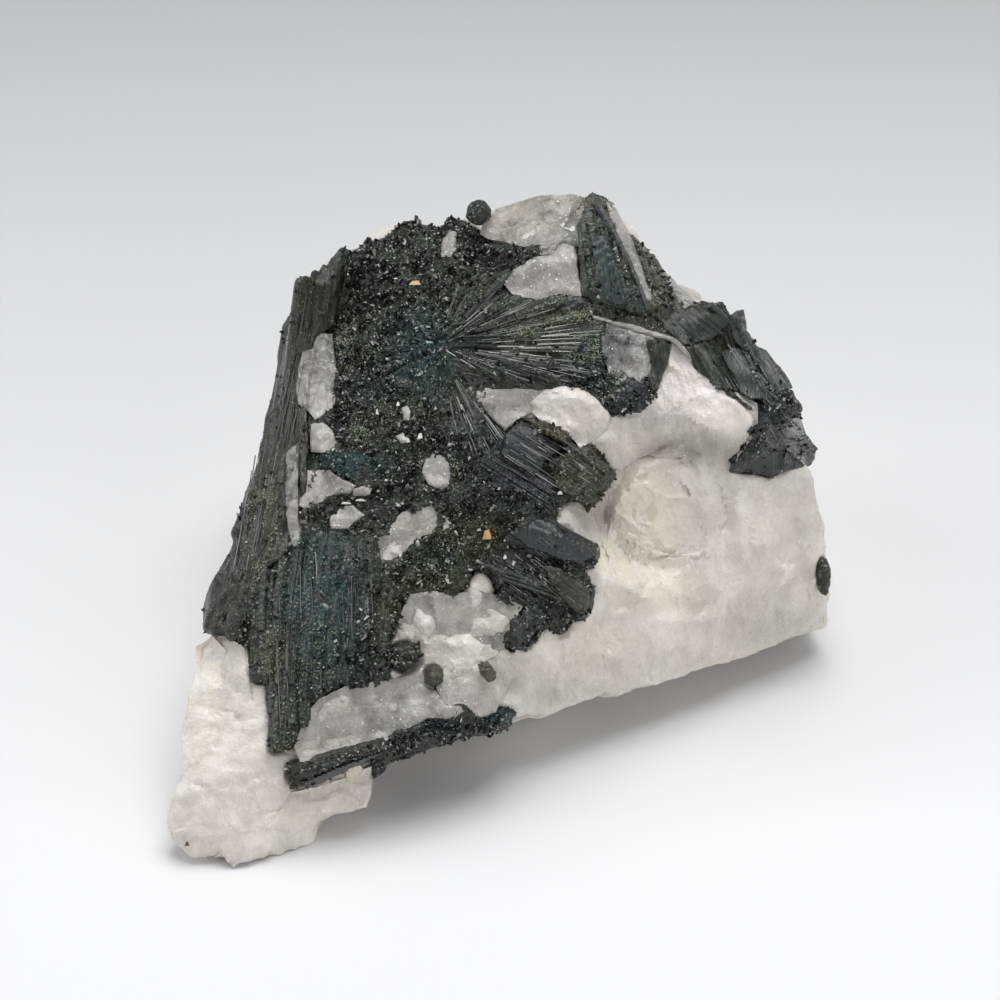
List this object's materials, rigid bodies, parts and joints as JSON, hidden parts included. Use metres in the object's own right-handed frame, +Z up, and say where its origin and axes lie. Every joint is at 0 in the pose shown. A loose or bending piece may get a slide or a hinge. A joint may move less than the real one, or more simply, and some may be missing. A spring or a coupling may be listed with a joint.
{
  "type": "tourmaline in quartz mineral specimen",
  "caption": "Hand-sized wedge of milky quartz with dark green striated tourmaline columns, needles and druse grown in its face.",
  "frame": {"origin": "centre of the bounding box on the ground plane that the rock rests on", "axes": "+Z up from the ground, -Y out of the front where the low foot and the long sloping face are, +X to the right flank"},
  "size_m": [0.0999, 0.0973, 0.0664],
  "materials": {
    "quartz": "milky, broken, slightly waxy",
    "tourmaline": "glassy, striated"
  },
  "bodies": {
    "root": {"quartz_matrix": "quartz", "main_tourmaline_growth": "tourmaline", "apex_columns": "tourmaline", "right_flank_crystals": "tourmaline", "bottom_crystal_band": "tourmaline", "top_bead_crystal": "tourmaline", "edge_crystal": "tourmaline", "small_crystal_left": "tourmaline", "small_crystal_middle": "tourmaline", "small_crystal_right": "tourmaline"}
  },
  "joints": []
}
